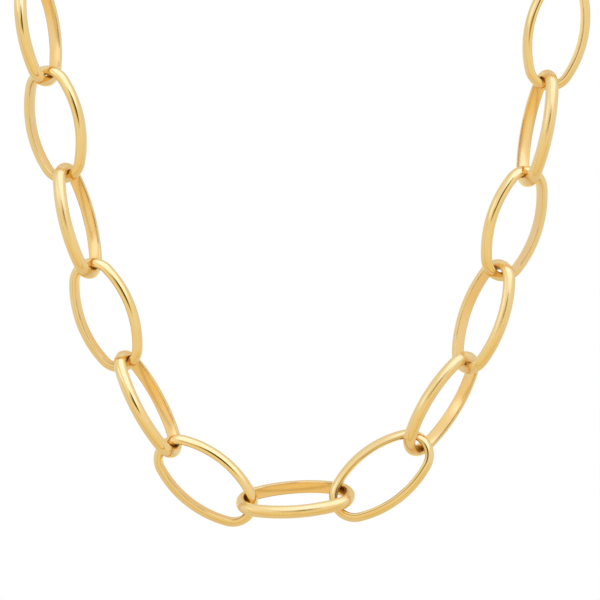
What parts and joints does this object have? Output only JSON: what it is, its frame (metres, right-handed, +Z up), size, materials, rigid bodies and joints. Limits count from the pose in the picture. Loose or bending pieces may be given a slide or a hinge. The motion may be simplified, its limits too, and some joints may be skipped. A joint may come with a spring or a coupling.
{
  "type": "link chain necklace",
  "caption": "Necklace of large open oval links with polished gold-coloured D-section wire, hanging as worn in a U with a closed loop round the neck.",
  "frame": {"origin": "On the middle line of the wearer's neck, level with the clasp at the nape.", "axes": "+Z up along the neck, -Y towards the wearer's front, +X towards the wearer's left, which is the viewer's right."},
  "size_m": [0.1206, 0.0939, 0.1507],
  "materials": {
    "gold": "polished yellow-gold plating on solid brass wire"
  },
  "bodies": {
    "root": {"link_01": "gold", "link_02": "gold", "link_03": "gold", "link_04": "gold", "link_05": "gold", "link_06": "gold", "link_07": "gold", "link_08": "gold", "link_09": "gold", "link_10": "gold", "link_11": "gold", "link_12": "gold", "link_13": "gold", "link_14": "gold", "link_15": "gold", "link_16": "gold", "link_17": "gold", "link_18": "gold", "link_19": "gold", "link_20": "gold", "link_21": "gold", "clasp": "gold"}
  },
  "joints": []
}
